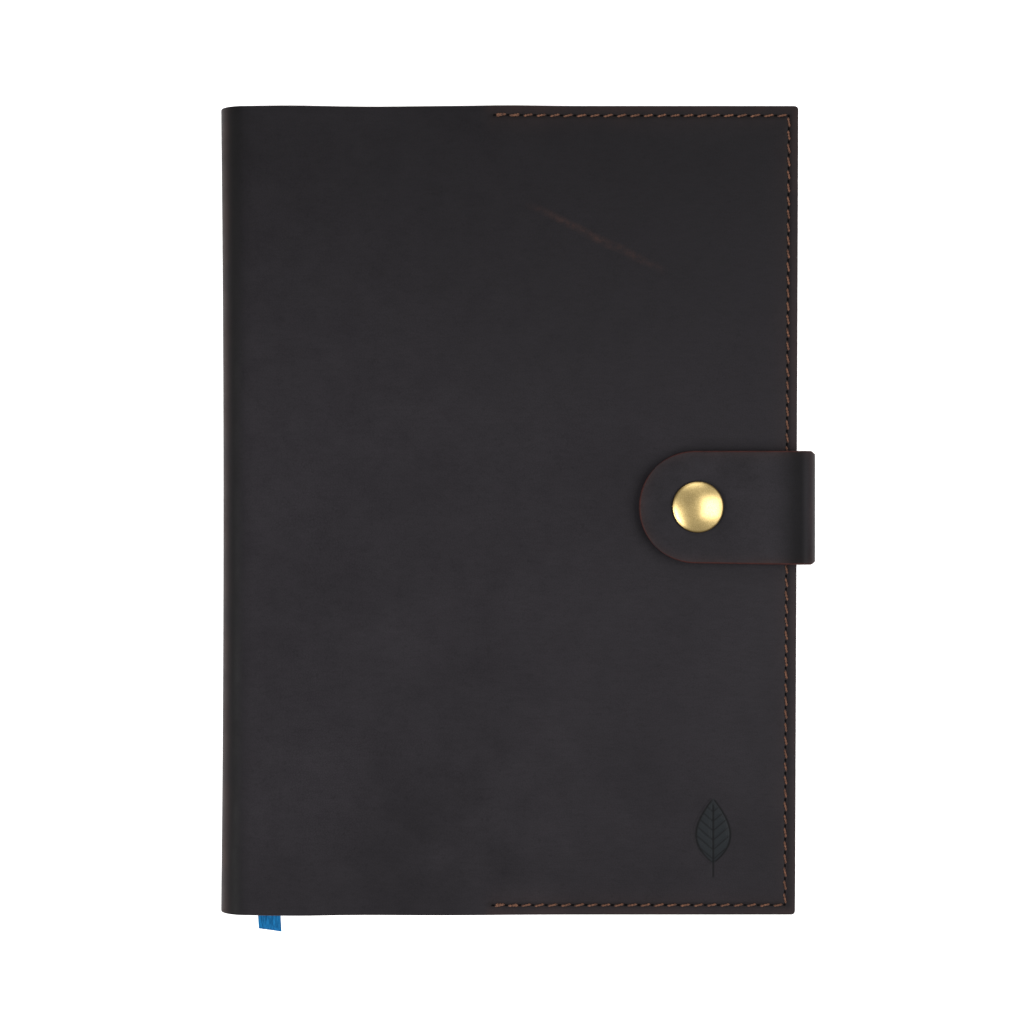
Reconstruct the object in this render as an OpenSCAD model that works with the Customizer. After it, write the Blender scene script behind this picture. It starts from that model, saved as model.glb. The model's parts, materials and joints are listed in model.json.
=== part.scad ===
// Leather notebook cover with a snapped strap, lying on its back with the front up.
// X runs from the spine to the fore edge, Y from tail to head, Z from back to front.
// The origin is the middle of the closed cover's footprint, on the resting face.

/* [Notebook inside] */
// Width of a page
page_w = 148; // [100:1:210]
// Height of a page
page_h = 210; // [140:1:297]
// Thickness of all the pages together with the marker between them
pages_t = 9.6; // [8:0.2:14]
// Thickness of the notebook's own card cover
card_t = 1; // [0.6:0.1:1.4]
// How far the card cover stands proud of the pages
card_over = 0.6; // [0.2:0.1:2]

/* [Leather] */
// Thickness of the outer leather
leather_t = 1.8; // [1.4:0.1:2.2]
// Thickness of the pocket leather
pocket_t = 1.2; // [0.8:0.1:1.6]
// Outer radius of the two long folds at the spine
spine_r = 7; // [6:0.5:8]
// Width of each inner pocket, from the fore edge towards the spine
pocket_w = 84.8; // [50:0.1:100]
// Width of the sewn margin around a pocket
seam_w = 3.5; // [3:0.1:6]
// Radius of the cover's corners at the fore edge
corner_r = 1; // [0.5:0.1:3]

/* [Stitching] */
// Distance from the leather's edge to the row of stitches
stitch_inset = 2.7; // [1.8:0.1:3]
// Distance from one stitch to the next
stitch_pitch = 3.6; // [2.5:0.1:5]
// Length of thread that shows in each stitch
stitch_len = 2.6; // [1.5:0.1:3]
// Width of the thread
thread_w = 0.6; // [0.4:0.05:0.8]
// Lean of each stitch from its row
stitch_lean = 12; // [0:1:14]

/* [Strap] */
// Width of the strap
strap_w = 30.5; // [20:0.5:40]
// Thickness of the strap
strap_t = 1.8; // [1.2:0.1:2.2]
// Length of the strap's tongue on the front
tongue_len = 43.7; // [35:0.1:60]
// How far the strap bulges past the fore edge
strap_bulge = 4.5; // [4.2:0.1:8]
// Outer radius of the strap's two bends
strap_r = 4; // [3:0.1:4.2]
// Height of the strap's middle above the middle of the cover
strap_y = 0.9; // [-20:0.1:20]

/* [Snap] */
// Distance from the snap to the fore edge
snap_inset = 27.8; // [20:0.1:30]
// Diameter of the domed cap
cap_d = 14; // [10:0.5:16]
// Height of the dome above its rim
dome_h = 1.9; // [1:0.1:3]
// Diameter of the stud's head
stud_d = 4.2; // [3.6:0.1:5]

/* [Marker ribbon] */
// Width of the ribbon
ribbon_w = 6; // [4:0.5:8]
// Distance from the spine's outside to the ribbon's middle at the tail
ribbon_x = 12.9; // [10:0.1:40]
// How far the ribbon's long corner hangs out past the tail
ribbon_out = 6.2; // [2:0.1:30]
// Lean of the ribbon across the page
ribbon_lean = 1; // [0:0.1:1.4]

/* [Hidden] */
$fn = 96;

// Clearances
crease_gap = 0.2;     // between two lengths of one leather at a fold
page_play = 0.5;      // between the pages and the inside of the card's fold
pocket_play = 1.8;    // between the card's fore edge and the sewn margin
head_play = 1.4;      // between the card's ends and the sewn margin
leg_play = 0.2;       // round the strap's skived end in the seam
snap_play = 0.1;      // round a snap's post in its hole
eps = 0.01;           // overlap that makes a cut clean

// Heights of the layers, from the resting face up
card_z = leather_t;
pocket_z = card_z + card_t;
pages_z = pocket_z + pocket_t;
cover_t = 2 * pages_z + pages_t;

// The notebook in plan
fold_inside = spine_r - leather_t - card_t;
fold_drop = max(0, spine_r - pages_z);
page_x = spine_r - sqrt(max(0, fold_inside * fold_inside - fold_drop * fold_drop)) + page_play;
card_end = page_x + page_w + card_over;
card_h = page_h + 2 * card_over;

// The cover in plan, sized to the notebook in its pockets
cover_w = card_end + pocket_play + seam_w;
cover_h = card_h + 2 * (head_play + seam_w);

// Marker ribbon between the two halves of the pages
ribbon_t = 0.3;
ribbon_gap = 0.4;
half_t = (pages_t - ribbon_gap) / 2;
ribbon_head_gap = 4;
ribbon_cut = 1;

// Spine lining and the bands at its ends
lining_t = 0.3;
lining_short = 3;
band_r = 0.7;

// Stitches lie in a shallow groove
groove_w = thread_w + 0.5;
groove_d = 0.35;
thread_t = 0.3;
stitch_start = 2.1;   // from the pocket's inner edge to the first stitch

// Strap and snap heights
strap_lift = 2;       // gap under the tongue, filled by the snap
tongue_z = cover_t + strap_lift;
strap_top = tongue_z + strap_t;
crease_x = cover_w;
snap_x = cover_w - snap_inset;

// Snap sizes
rim_h = 0.5;
post_r = 1.5;
stud_base_r = 4.6;
stud_base_h = 0.5;
stud_neck_r = stud_d / 2 - 0.4;
stud_head_h = 0.6;
stud_clear = 0.3;     // from the stud's head to the socket's plate
socket_r = 5.2;
socket_bore_r = stud_d / 2 + 0.8;
socket_plate = 0.25;
socket_clear = 0.2;   // from the socket's mouth to the stud's base
wire_r = 0.25;
spring_r = stud_d / 2 + 0.2 + wire_r;
spring_angle = 300;
eyelet_post_r = 1.1;
eyelet_flange_r = 4;
eyelet_flange_h = 0.5;

stud_head_top = tongue_z - socket_plate - stud_clear;
socket_mouth = cover_t + stud_base_h + socket_clear;

// Colours
leather_c = [0.12, 0.11, 0.12];
edge_c = [0.2, 0.12, 0.11];
thread_c = [0.45, 0.3, 0.24];
brass_c = [0.78, 0.65, 0.35];
card_c = [0.1, 0.13, 0.2];
paper_c = [0.93, 0.9, 0.82];
ribbon_c = [0.1, 0.4, 0.65];
cloth_c = [0.85, 0.85, 0.82];

// Moves a shape from spine-based coordinates to the part's frame
module place() {
    translate([-cover_w / 2, 0, 0])
        children();
}

// Extrudes an X-Z outline along Y
module along_y(length) {
    rotate([90, 0, 0])
        linear_extrude(length, center = true)
            children();
}

// Filled side view of the closed cover, set in by a distance, ending at x = far
module closed_outline(inset, far) {
    r = spine_r - inset;
    for (z = [spine_r, cover_t - spine_r])
        translate([spine_r, z])
            circle(r);
    translate([inset, spine_r])
        square([r, cover_t - 2 * spine_r]);
    translate([spine_r, inset])
        square([far - spine_r, cover_t - 2 * inset]);
}

// One sheet wrapped round the closed notebook
module wrap_outline(inset, thickness, far) {
    difference() {
        closed_outline(inset, far);
        closed_outline(inset + thickness, far + 1);
    }
}

// Side view of what lies between the two long folds
module spine_zone() {
    reach = 2 * spine_r;
    shift = crease_gap / sqrt(2);
    polygon([
        [spine_r - shift, spine_r],
        [spine_r - shift - reach, spine_r - reach],
        [spine_r - shift - reach, cover_t - spine_r + reach],
        [spine_r - shift, cover_t - spine_r]
    ]);
}

// Side view of what lies on the back's side of the lower fold
module back_zone() {
    reach = 2 * spine_r;
    shift = crease_gap / sqrt(2);
    polygon([
        [spine_r + shift, spine_r],
        [spine_r + shift - reach, spine_r - reach],
        [cover_w + reach, spine_r - reach],
        [cover_w + reach, spine_r]
    ]);
}

// Turns a shape on the back's side into the one on the front's side
module to_front() {
    translate([0, 0, cover_t])
        mirror([0, 0, 1])
            children();
}

// Panel in plan, with small corners at the fore edge
module panel_plan() {
    half = cover_h / 2;
    translate([-eps, -half])
        square([cover_w - corner_r + eps, cover_h]);
    translate([-eps, -half + corner_r])
        square([cover_w + eps, cover_h - 2 * corner_r]);
    for (side = [-1, 1])
        translate([cover_w - corner_r, side * (half - corner_r)])
            circle(corner_r);
}

// Side plate of the cover: flat, then half of the long fold
module leather_panel() {
    intersection() {
        along_y(cover_h)
            intersection() {
                wrap_outline(0, leather_t, cover_w);
                back_zone();
            }
        translate([0, 0, -1])
            linear_extrude(cover_t)
                panel_plan();
    }
}

// Row of stitches from a to b, both [x, y], worked by a bar module
module stitch_row(a, b) {
    run = b - a;
    count = max(1, round(norm(run) / stitch_pitch));
    for (i = [0:count - 1])
        translate(a + run * (i + 0.5) / count)
            rotate(atan2(run[1], run[0]) + stitch_lean)
                square([stitch_len, thread_w], center = true);
}

// The three sewn sides of a pocket
module stitches_plan() {
    x0 = cover_w - pocket_w + stitch_start;
    x1 = cover_w - stitch_inset;
    y1 = cover_h / 2 - stitch_inset;
    stitch_row([x0, y1], [x1, y1]);
    stitch_row([x1, y1], [x1, -y1]);
    stitch_row([x1, -y1], [x0, -y1]);
}

// Groove that the stitches lie in
module groove_plan() {
    x0 = cover_w - pocket_w + stitch_start - groove_w / 2;
    x1 = cover_w - stitch_inset;
    y1 = cover_h / 2 - stitch_inset;
    for (side = [-1, 1])
        translate([x0, side * y1 - groove_w / 2])
            square([x1 - x0 + groove_w / 2, groove_w]);
    translate([x1 - groove_w / 2, -y1])
        square([groove_w, 2 * y1]);
}

module groove() {
    translate([0, 0, -1])
        linear_extrude(1 + groove_d)
            groove_plan();
}

module stitches() {
    translate([0, 0, groove_d - thread_t])
        linear_extrude(thread_t)
            stitches_plan();
}

// Pocket with its sewn margin, and an open side towards the spine
module pocket() {
    inside_h = cover_h - 2 * seam_w;
    difference() {
        translate([0, 0, card_z])
            linear_extrude(card_t + pocket_t)
                intersection() {
                    panel_plan();
                    translate([cover_w - pocket_w, -cover_h / 2])
                        square([pocket_w, cover_h]);
                }
        translate([cover_w - pocket_w - 1, -inside_h / 2, card_z - 1])
            cube([pocket_w + 1 - seam_w, inside_h, card_t + 1]);
    }
}

module snap_at(z) {
    translate([snap_x, strap_y, z])
        children();
}

module cover_front() {
    color(leather_c)
        place()
            difference() {
                to_front()
                    difference() {
                        leather_panel();
                        groove();
                    }
                snap_at(cover_t - leather_t - 1)
                    cylinder(r = eyelet_post_r + snap_play, h = leather_t + 2);
                snap_at(cover_t - leather_t - 1)
                    cylinder(r = eyelet_flange_r + snap_play, h = eyelet_flange_h + 1);
            }
}

module cover_spine() {
    color(leather_c)
        place()
            along_y(cover_h)
                intersection() {
                    wrap_outline(0, leather_t, cover_w);
                    spine_zone();
                }
}

module cover_back() {
    color(leather_c)
        place()
            difference() {
                leather_panel();
                groove();
            }
}

module pocket_front() {
    color(edge_c)
        place()
            to_front()
                pocket();
}

// The strap's skived end enters the back seam through a slot in the margin
module pocket_back() {
    color(edge_c)
        place()
            difference() {
                pocket();
                translate([cover_w - seam_w - 1, strap_y - strap_w / 2 - leg_play, card_z - 1])
                    cube([seam_w + 2, strap_w + 2 * leg_play, card_t + 1]);
            }
}

module stitching_front() {
    color(thread_c)
        place()
            to_front()
                stitches();
}

module stitching_back() {
    color(thread_c)
        place()
            stitches();
}

// A quarter of a ring, in the quadrant that sx and sz point to
module quarter_ring(sx, sz) {
    intersection() {
        difference() {
            circle(strap_r);
            circle(strap_r - strap_t);
        }
        translate([sx > 0 ? 0 : -strap_r, sz > 0 ? 0 : -strap_r])
            square(strap_r);
    }
}

// Side view of the strap from the back seam, round the fore edge, to its crease
module loop_outline() {
    outer = cover_w + strap_bulge;
    bend_x = outer - strap_r;
    low_z = card_z + strap_r;
    high_z = strap_top - strap_r;
    translate([cover_w - seam_w + leg_play, card_z])
        square([seam_w - leg_play + eps, card_t]);
    translate([cover_w, card_z])
        square([bend_x - cover_w, strap_t]);
    translate([bend_x, low_z])
        quarter_ring(1, -1);
    translate([outer - strap_t, low_z])
        square([strap_t, high_z - low_z]);
    translate([bend_x, high_z])
        quarter_ring(1, 1);
    translate([crease_x + crease_gap / 2, tongue_z])
        square([bend_x - crease_x - crease_gap / 2, strap_t]);
}

module strap_loop() {
    color(leather_c)
        place()
            translate([0, strap_y, 0])
                along_y(strap_w)
                    loop_outline();
}

module strap_tongue() {
    tip_x = cover_w - tongue_len + strap_w / 2;
    color(leather_c)
        place()
            difference() {
                translate([0, strap_y, tongue_z])
                    linear_extrude(strap_t) {
                        translate([tip_x, 0])
                            circle(strap_w / 2);
                        translate([tip_x, -strap_w / 2])
                            square([crease_x - crease_gap / 2 - tip_x, strap_w]);
                    }
                snap_at(tongue_z - 1)
                    cylinder(r = post_r + snap_play, h = strap_t + 2);
            }
}

// Domed cap with a rim, and the post that goes through the strap
module snap_cap() {
    cap_r = cap_d / 2;
    dome_r = (cap_r * cap_r + dome_h * dome_h) / (2 * dome_h);
    color(brass_c)
        place()
            snap_at(strap_top) {
                cylinder(r = cap_r, h = rim_h);
                intersection() {
                    translate([0, 0, rim_h + dome_h - dome_r])
                        sphere(dome_r);
                    cylinder(r = cap_r, h = rim_h + dome_h);
                }
                translate([0, 0, -strap_t])
                    cylinder(r = post_r, h = strap_t + rim_h);
            }
}

// Cup under the strap that takes the stud
module snap_socket() {
    color(brass_c)
        place()
            difference() {
                snap_at(socket_mouth)
                    cylinder(r = socket_r, h = tongue_z - socket_mouth);
                snap_at(socket_mouth - 1)
                    cylinder(r = socket_bore_r, h = tongue_z - socket_mouth - socket_plate + 1);
            }
}

// Open wire ring in the socket
module snap_spring() {
    color("silver")
        place()
            snap_at(socket_mouth + wire_r + socket_clear)
                rotate_extrude(angle = spring_angle)
                    translate([spring_r, 0])
                        circle(wire_r, $fn = 24);
}

// Stud on the front: base, neck and head, hollow for the eyelet's post
module snap_stud() {
    head_z = stud_head_top - stud_head_h - cover_t;
    color(brass_c)
        place()
            difference() {
                snap_at(cover_t) {
                    cylinder(r = stud_base_r, h = stud_base_h);
                    cylinder(r = stud_neck_r, h = head_z + eps);
                    translate([0, 0, head_z])
                        cylinder(d = stud_d, h = stud_head_h);
                }
                snap_at(cover_t - 1)
                    cylinder(r = eyelet_post_r + snap_play, h = 1 + head_z);
            }
}

// Eyelet that clamps the stud from inside the front leather
module snap_eyelet() {
    post_h = stud_head_top - stud_head_h - cover_t + leather_t - snap_play;
    color(brass_c)
        place()
            snap_at(cover_t - leather_t) {
                cylinder(r = eyelet_flange_r, h = eyelet_flange_h);
                cylinder(r = eyelet_post_r, h = post_h);
            }
}

module back_card() {
    along_y(card_h)
        intersection() {
            wrap_outline(leather_t, card_t, card_end);
            back_zone();
        }
}

module notebook_front_card() {
    color(card_c)
        place()
            to_front()
                back_card();
}

module notebook_spine_card() {
    color(card_c)
        place()
            along_y(card_h)
                intersection() {
                    wrap_outline(leather_t, card_t, card_end);
                    spine_zone();
                }
}

module notebook_back_card() {
    color(card_c)
        place()
            back_card();
}

module page_half(z) {
    color(paper_c)
        place()
            translate([page_x, -page_h / 2, z])
                cube([page_w, page_h, half_t]);
}

module pages_front_half() {
    page_half(pages_z + half_t + ribbon_gap);
}

module pages_back_half() {
    page_half(pages_z);
}

module spine_lining() {
    color(cloth_c)
        place()
            translate([page_x - lining_t, lining_short - page_h / 2, pages_z + lining_t])
                cube([lining_t, page_h - 2 * lining_short, pages_t - 2 * lining_t]);
}

// Half-round band across the end of the pages, at the spine
module end_band() {
    color(ribbon_c)
        place()
            intersection() {
                translate([page_x + band_r, page_h / 2, pages_z])
                    cylinder(r = band_r, h = pages_t, $fn = 48);
                translate([0, page_h / 2, 0])
                    cube([2 * page_x, 2 * band_r, cover_t]);
            }
}

module head_band() {
    end_band();
}

module tail_band() {
    mirror([0, 1, 0])
        end_band();
}

// Flat ribbon from the head of the pages to its slanted cut past the tail
module marker_ribbon() {
    run = cover_h / 2 + page_h / 2 - ribbon_head_gap;
    color(ribbon_c)
        place()
            translate([ribbon_x, -cover_h / 2, pages_z + half_t + (ribbon_gap - ribbon_t) / 2])
                rotate(ribbon_lean)
                    linear_extrude(ribbon_t)
                        polygon([
                            [-ribbon_w / 2, ribbon_cut - ribbon_out],
                            [ribbon_w / 2, -ribbon_out],
                            [ribbon_w / 2, run],
                            [-ribbon_w / 2, run]
                        ]);
}

cover_front();
cover_spine();
cover_back();
pocket_front();
pocket_back();
stitching_front();
stitching_back();
strap_loop();
strap_tongue();
snap_cap();
snap_socket();
snap_spring();
snap_stud();
snap_eyelet();
notebook_front_card();
notebook_spine_card();
notebook_back_card();
pages_front_half();
pages_back_half();
spine_lining();
head_band();
tail_band();
marker_ribbon();
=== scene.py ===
"""Looks of a leather notebook cover with a snapped strap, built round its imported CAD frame."""

import json
import math

import bmesh
import bpy
import numpy as np
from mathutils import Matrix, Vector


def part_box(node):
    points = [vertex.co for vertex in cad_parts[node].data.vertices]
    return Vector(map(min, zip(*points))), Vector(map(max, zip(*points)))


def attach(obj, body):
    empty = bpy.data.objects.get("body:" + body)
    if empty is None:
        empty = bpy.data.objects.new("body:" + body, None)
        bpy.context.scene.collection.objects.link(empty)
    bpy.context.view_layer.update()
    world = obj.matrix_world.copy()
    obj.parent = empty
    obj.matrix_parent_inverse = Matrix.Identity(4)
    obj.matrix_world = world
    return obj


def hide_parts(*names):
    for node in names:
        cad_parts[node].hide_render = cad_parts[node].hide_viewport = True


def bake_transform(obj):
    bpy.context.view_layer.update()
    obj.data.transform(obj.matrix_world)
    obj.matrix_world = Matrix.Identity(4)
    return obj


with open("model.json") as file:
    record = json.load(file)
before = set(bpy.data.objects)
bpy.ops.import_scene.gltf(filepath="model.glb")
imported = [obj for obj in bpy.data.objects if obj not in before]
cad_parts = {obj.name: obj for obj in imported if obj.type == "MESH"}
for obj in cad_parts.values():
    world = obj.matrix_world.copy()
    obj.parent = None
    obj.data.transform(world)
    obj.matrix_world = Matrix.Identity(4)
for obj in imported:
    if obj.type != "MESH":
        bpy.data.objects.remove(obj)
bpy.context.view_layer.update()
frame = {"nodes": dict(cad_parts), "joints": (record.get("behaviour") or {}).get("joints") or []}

MM = 0.001

# ---------------------------------------------------------------- sizes, from the frame

cover_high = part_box("cover_front")[1]
pocket_low, pocket_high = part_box("pocket_front")
joints = {j["name"]: j for j in frame["joints"]}

SPINE_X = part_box("cover_spine")[0].x
FORE_X = cover_high.x
HALF_H = cover_high.y
TOP = cover_high.z
WIDTH = FORE_X - SPINE_X
LEATHER_T = TOP - pocket_high.z
# The fold's axis is on the leather's outer face, half way round its bend
SPINE_R = joints["spine_fold"]["pos_m"][2] / (1 - math.cos(math.pi / 4))
CREASE_X = joints["strap_lift"]["pos_m"][0]
POCKET_X = pocket_low.x

CARD_T = 1.0 * MM
POCKET_T = pocket_high.z - pocket_low.z - CARD_T
STITCH_INSET = 2.7 * MM
STITCH_PITCH = 3.6 * MM
STITCH_LEN = 2.85 * MM
STITCH_START = 1.8 * MM
TRENCH_D = 0.18 * MM      # how deep the thread pulls its row into the leather
TRENCH_W = 0.6 * MM
ROW_HALF = 1.4 * MM       # half of the finely meshed band along a row
RIM = 0.5 * MM            # the outermost strip of the mesh, beside a cut edge
STITCH_LEAN = math.radians(12)

SNAP_LOW, SNAP_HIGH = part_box("snap_cap")
SNAP = np.array([(SNAP_LOW.x + SNAP_HIGH.x) / 2, (SNAP_LOW.y + SNAP_HIGH.y) / 2])

# Blind stamp low on the front: a plain leaf
STAMP = np.array([FORE_X - 23.3 * MM, -HALF_H + 21 * MM])
STAMP_HALF = np.array([5.6 * MM, 11 * MM])


# ---------------------------------------------------------------- small helpers


def smooth(low, high, value):
    """0 below low, 1 above high, and a smooth rise between them."""
    t = np.clip((value - low) / (high - low), 0, 1)
    return t * t * (3 - 2 * t)


def waves(x, y, size, seed, count=7):
    """Slow bumps of about that size, between -1 and 1, the same at each run."""
    rng = np.random.default_rng(seed)
    total = np.zeros(np.broadcast(x, y).shape)
    for _ in range(count):
        turn = rng.uniform(0, 2 * math.pi)
        pitch = size * rng.uniform(0.7, 1.6)
        phase = rng.uniform(0, 2 * math.pi)
        along = x * math.cos(turn) + y * math.sin(turn)
        total = total + np.sin(2 * math.pi * along / pitch + phase)
    return total / count


def steps(breaks):
    """Values from (start, end, spacing) stretches, joined without repeats."""
    values = []
    for start, end, spacing in breaks:
        count = max(1, round((end - start) / spacing))
        values += list(np.linspace(start, end, count + 1)[:-1])
    return np.array(values + [breaks[-1][1]])


def new_object(name, vertices, faces, materials, slots=None):
    """A smooth mesh with outward normals, which keeps its rest coordinates for the materials."""
    mesh = bpy.data.meshes.new(name)
    mesh.from_pydata([tuple(v) for v in vertices], [], faces)
    for m in materials:
        mesh.materials.append(m)
    if slots is not None:
        mesh.polygons.foreach_set("material_index", slots)
    bm = bmesh.new()
    bm.from_mesh(mesh)
    bmesh.ops.recalc_face_normals(bm, faces=bm.faces)
    bm.to_mesh(mesh)
    bm.free()
    mesh.polygons.foreach_set("use_smooth", [True] * len(mesh.polygons))
    mesh.set_sharp_from_angle(angle=math.radians(60))
    co = np.empty(len(mesh.vertices) * 3, np.float32)
    mesh.vertices.foreach_get("co", co)
    mesh.attributes.new("rest_co", "FLOAT_VECTOR", "POINT").data.foreach_set("vector", co)
    mesh.update()
    obj = bpy.data.objects.new(name, mesh)
    bpy.context.scene.collection.objects.link(obj)
    return obj


def mark(obj, name, values):
    """Writes a value from 0 to 1 at each vertex, for the materials."""
    attribute = obj.data.attributes.new(name, "FLOAT", "POINT")
    attribute.data.foreach_set("value", np.clip(values, 0, 1).astype(np.float32))


def coordinates(obj):
    """The vertices' places, one row each."""
    return np.array([v.co for v in obj.data.vertices])


ALL_SIDES = ("u0", "u1", "v0", "v1")


def sheet(name, us, vs, place, thickness, edge, materials, closed=ALL_SIDES, stained=False):
    """A sheet of even thickness over a grid, with rounded cut edges.

    place(u, v, depth) gives points; depth is 0 on the outer face and thickness on the inner one.
    Sides that aren't in closed are left square, to meet a neighbour. The edge's stain covers the
    whole rounding where stained is set.
    """
    nu, nv = len(us), len(vs)

    def level(inset, depth):
        u = us.copy()
        v = vs.copy()
        if "u0" in closed:
            u = np.maximum(u, us[0] + inset)
        if "u1" in closed:
            u = np.minimum(u, us[-1] - inset)
        if "v0" in closed:
            v = np.maximum(v, vs[0] + inset)
        if "v1" in closed:
            v = np.minimum(v, vs[-1] - inset)
        uu, vv = np.meshgrid(u, v, indexing="ij")
        return place(uu.ravel(), vv.ravel(), np.full(nu * nv, depth))

    around = [(i, 0) for i in range(nu)] + [(nu - 1, j) for j in range(1, nv)]
    around += [(i, nv - 1) for i in range(nu - 2, -1, -1)] + [(0, j) for j in range(nv - 2, 0, -1)]
    ring = np.array([i * nv + j for i, j in around])

    quarter = edge * (1 - math.cos(math.pi / 4))
    sides = [
        (quarter, quarter),
        (0, edge),
        (0, thickness - edge),
        (quarter, thickness - quarter),
    ]
    outer = level(edge, 0.0)
    inner = level(edge, thickness)
    points = [outer, inner] + [level(inset, depth)[ring] for inset, depth in sides]
    n = nu * nv
    rings = [list(ring)]
    for k in range(len(sides)):
        start = 2 * n + k * len(ring)
        rings.append(list(range(start, start + len(ring))))
    rings.append(list(ring + n))

    faces = []
    slots = []
    for side, shift in ((0, 0), (2, n)):
        for i in range(nu - 1):
            for j in range(nv - 1):
                a = shift + i * nv + j
                faces.append((a, a + nv, a + nv + 1, a + 1))
                slots.append(side)
    count = len(ring)
    for k in range(len(rings) - 1):
        for i in range(count):
            j = (i + 1) % count
            faces.append((rings[k][i], rings[k][j], rings[k + 1][j], rings[k + 1][i]))
            slots.append(0 if k == 0 and not stained else 1)
    return new_object(name, np.vstack(points), faces, materials, slots)


def lathe(name, profile, centre, materials, segments=96):
    """A closed turned shape from (radius, height) points that start and end on the axis."""
    vertices = []
    faces = []
    rings = []
    for r, z in profile:
        if r < 1e-9:
            rings.append([len(vertices)])
            vertices.append((centre[0], centre[1], z))
            continue
        start = len(vertices)
        for k in range(segments):
            turn = 2 * math.pi * k / segments
            vertices.append((centre[0] + r * math.cos(turn), centre[1] + r * math.sin(turn), z))
        rings.append(list(range(start, start + segments)))
    for a, b in zip(rings, rings[1:]):
        for k in range(segments):
            j = (k + 1) % segments
            if len(a) == 1:
                faces.append((a[0], b[k], b[j]))
            elif len(b) == 1:
                faces.append((a[k], a[j], b[0]))
            else:
                faces.append((a[k], a[j], b[j], b[k]))
    return new_object(name, vertices, faces, materials)


# ---------------------------------------------------------------- materials


class Shader:
    """A Principled material with a few shorthands for its nodes."""

    def __init__(self, name, color, roughness, rest=True, **values):
        self.material = bpy.data.materials.new(name)
        self.material.use_nodes = True
        self.tree = self.material.node_tree
        self.bsdf = self.tree.nodes["Principled BSDF"]
        self.bsdf.inputs["Base Color"].default_value = (*color, 1)
        self.bsdf.inputs["Roughness"].default_value = roughness
        for key, value in values.items():
            self.bsdf.inputs[key.replace("_", " ")].default_value = value
        self.height = None
        if rest:
            self.where = self.add("ShaderNodeAttribute", attribute_name="rest_co").outputs["Vector"]
        else:
            self.where = self.add("ShaderNodeTexCoord").outputs["Object"]

    def add(self, kind, **settings):
        node = self.tree.nodes.new(kind)
        for key, value in settings.items():
            setattr(node, key, value)
        return node

    def link(self, source, target):
        self.tree.links.new(source, target)

    def math(self, operation, a, b=None, clamp=False):
        node = self.add("ShaderNodeMath", operation=operation, use_clamp=clamp)
        for value, socket in ((a, node.inputs[0]), (b, node.inputs[1])):
            if value is None:
                continue
            if isinstance(value, (int, float)):
                socket.default_value = value
            else:
                self.link(value, socket)
        return node.outputs[0]

    def stretched(self, scale, turn=0.0):
        node = self.add("ShaderNodeMapping")
        node.inputs["Scale"].default_value = scale
        node.inputs["Rotation"].default_value = (0, 0, turn)
        self.link(self.where, node.inputs["Vector"])
        return node.outputs[0]

    def noise(self, scale, detail=2.0, roughness=0.5, where=None):
        node = self.add("ShaderNodeTexNoise")
        node.inputs["Scale"].default_value = scale
        node.inputs["Detail"].default_value = detail
        node.inputs["Roughness"].default_value = roughness
        self.link(where or self.where, node.inputs["Vector"])
        return node.outputs["Fac"]

    def cells(self, scale):
        node = self.add("ShaderNodeTexVoronoi", feature="DISTANCE_TO_EDGE")
        node.inputs["Scale"].default_value = scale
        self.link(self.where, node.inputs["Vector"])
        return node.outputs["Distance"]

    def spread(self, value, low, high, to_low=0.0, to_high=1.0):
        node = self.add("ShaderNodeMapRange")
        limits = {"From Min": low, "From Max": high, "To Min": to_low, "To Max": to_high}
        for key, number in limits.items():
            node.inputs[key].default_value = number
        self.link(value, node.inputs["Value"])
        return node.outputs["Result"]

    def mix(self, factor, a, b):
        node = self.add("ShaderNodeMix", data_type="RGBA")
        for value, socket in ((factor, node.inputs[0]), (a, node.inputs[6]), (b, node.inputs[7])):
            if isinstance(value, tuple):
                socket.default_value = (*value, 1)
            elif isinstance(value, (int, float)):
                socket.default_value = value
            else:
                self.link(value, socket)
        return node.outputs[2]

    def times(self, color, value):
        node = self.add("ShaderNodeMix", data_type="RGBA", blend_type="MULTIPLY")
        node.inputs[0].default_value = 1.0
        self.link(color, node.inputs[6])
        self.link(value, node.inputs[7])
        return node.outputs[2]

    def color(self, socket):
        self.link(socket, self.bsdf.inputs["Base Color"])

    def roughness(self, socket):
        self.link(socket, self.bsdf.inputs["Roughness"])

    def bump(self, height, distance, strength=1.0):
        node = self.add("ShaderNodeBump")
        node.inputs["Distance"].default_value = distance
        node.inputs["Strength"].default_value = strength
        self.link(height, node.inputs["Height"])
        if self.height is not None:
            self.link(self.height, node.inputs["Normal"])
        self.height = node.outputs["Normal"]
        self.link(self.height, self.bsdf.inputs["Normal"])


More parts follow.
